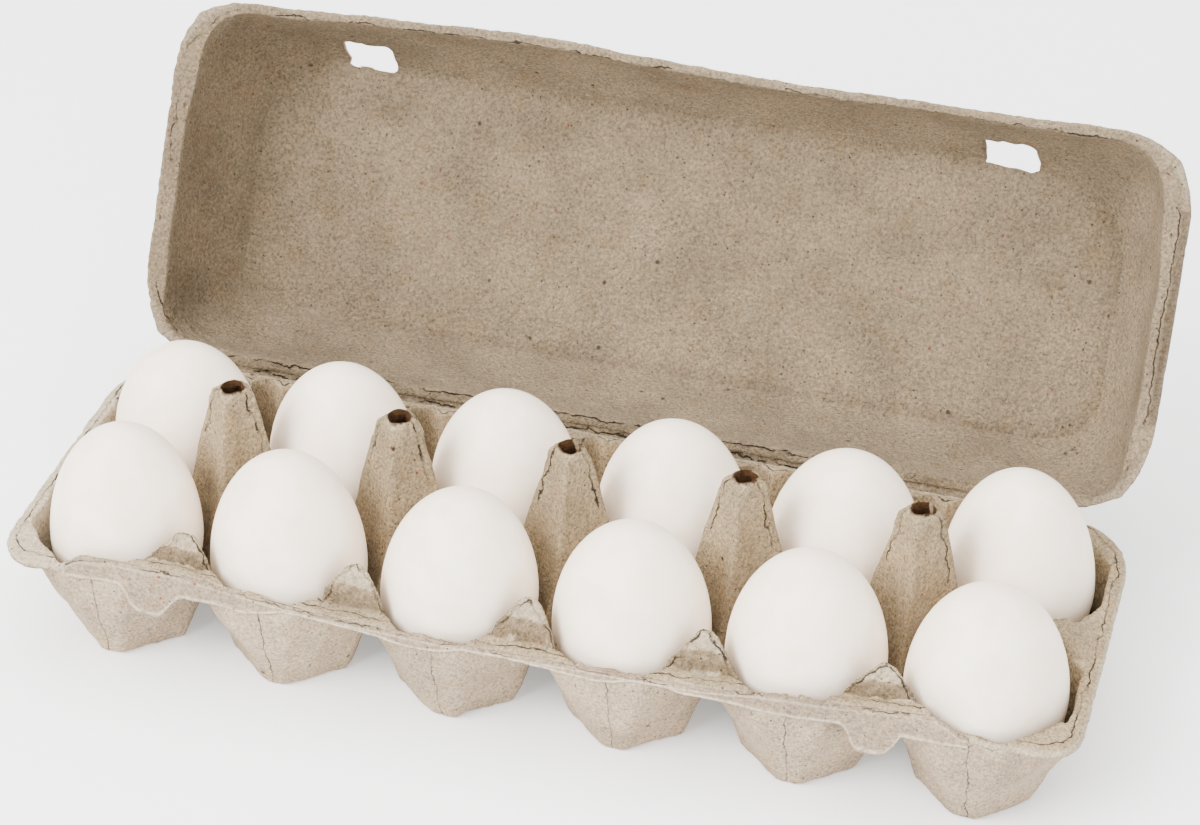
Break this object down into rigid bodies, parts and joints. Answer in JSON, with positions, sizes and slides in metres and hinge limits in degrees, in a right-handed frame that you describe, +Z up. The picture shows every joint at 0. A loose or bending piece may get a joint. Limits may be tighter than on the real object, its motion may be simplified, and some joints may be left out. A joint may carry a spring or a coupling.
{
  "type": "egg carton",
  "caption": "Moulded pulp egg carton standing open, with a hinged lid, a folded locking flap and white eggs upright in its cells.",
  "frame": {"origin": "on the ground under the middle of the whole, feet at z = 0", "axes": "+X along the length to the right, +Y towards the lid's hinge, +Z up"},
  "size_m": [0.299, 0.182, 0.132],
  "materials": {
    "tray": "rough, fibrous",
    "lid": "rough, fibrous",
    "flap": "rough, fibrous",
    "egg_front_1": "matt shell",
    "egg_front_2": "matt shell",
    "egg_front_3": "matt shell",
    "egg_front_4": "matt shell",
    "egg_front_5": "matt shell",
    "egg_front_6": "matt shell",
    "egg_back_1": "matt shell",
    "egg_back_2": "matt shell",
    "egg_back_3": "matt shell",
    "egg_back_4": "matt shell",
    "egg_back_5": "matt shell",
    "egg_back_6": "matt shell"
  },
  "bodies": {
    "tray": {"tray": "tray", "egg_front_1": "egg_front_1", "egg_front_2": "egg_front_2", "egg_front_3": "egg_front_3", "egg_front_4": "egg_front_4", "egg_front_5": "egg_front_5", "egg_front_6": "egg_front_6", "egg_back_1": "egg_back_1", "egg_back_2": "egg_back_2", "egg_back_3": "egg_back_3", "egg_back_4": "egg_back_4", "egg_back_5": "egg_back_5", "egg_back_6": "egg_back_6"},
    "lid": {"lid": "lid"},
    "flap": {"flap": "flap"}
  },
  "joints": [
    {"name": "lid_hinge", "type": "hinge", "parent": "tray", "child": "lid", "pos_m": [0, 0.01271, 0.0373], "axis": [1, 0, 0], "range_deg": [-60, 119.5]},
    {"name": "flap_fold", "type": "hinge", "parent": "tray", "child": "flap", "pos_m": [0, -0.09049, 0.0364], "axis": [1, 0, 0], "range_deg": [-191, 0]}
  ]
}
